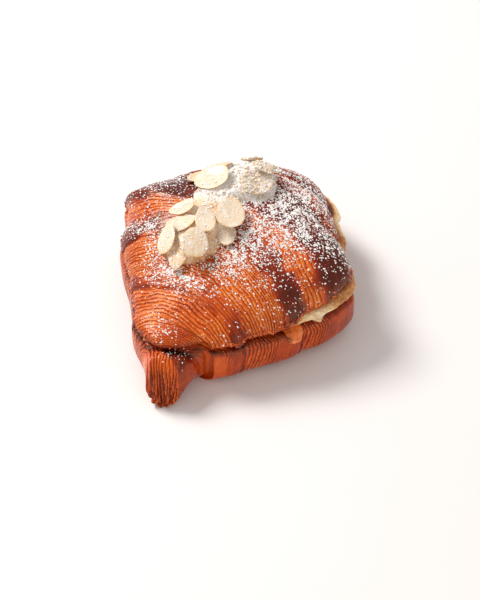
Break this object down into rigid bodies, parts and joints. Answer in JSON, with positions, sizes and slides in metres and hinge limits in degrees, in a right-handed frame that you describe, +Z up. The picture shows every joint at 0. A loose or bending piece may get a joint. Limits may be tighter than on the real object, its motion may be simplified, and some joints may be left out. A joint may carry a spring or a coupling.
{
  "type": "almond croissant",
  "caption": "Filled croissant, sliced level, with almond cream in the slit and a baked cream patch of flaked almonds on its dusted crust.",
  "frame": {"origin": "middle of the footprint, on the surface that the croissant rests on", "axes": "+X along the roll from the near, bent tip to the far tip, +Y to its left, +Z up"},
  "size_m": [0.1531, 0.126, 0.0586],
  "materials": {
    "lower_crust": "baked laminated pastry, satin, fine layer lines",
    "upper_crust": "baked laminated pastry, syrup sheen, dusted with icing sugar",
    "filling_cream": "soft almond cream, matt, crumbly edge",
    "baked_cream": "baked almond cream under icing sugar, matt",
    "torn_crust": "torn pastry layer, satin",
    "almond": "blanched almond slices, satin, dusted with icing sugar"
  },
  "bodies": {
    "root": {"bottom_half": "lower_crust", "top_half": "upper_crust", "almond_filling": "filling_cream", "topping_cream": "baked_cream", "crust_strip": "torn_crust", "almond_flake_01": "almond", "almond_flake_02": "almond", "almond_flake_03": "almond", "almond_flake_04": "almond", "almond_flake_05": "almond", "almond_flake_06": "almond", "almond_flake_07": "almond", "almond_flake_08": "almond", "almond_flake_09": "almond", "almond_flake_10": "almond", "almond_flake_11": "almond", "almond_flake_12": "almond", "almond_flake_13": "almond", "almond_flake_14": "almond"}
  },
  "joints": []
}
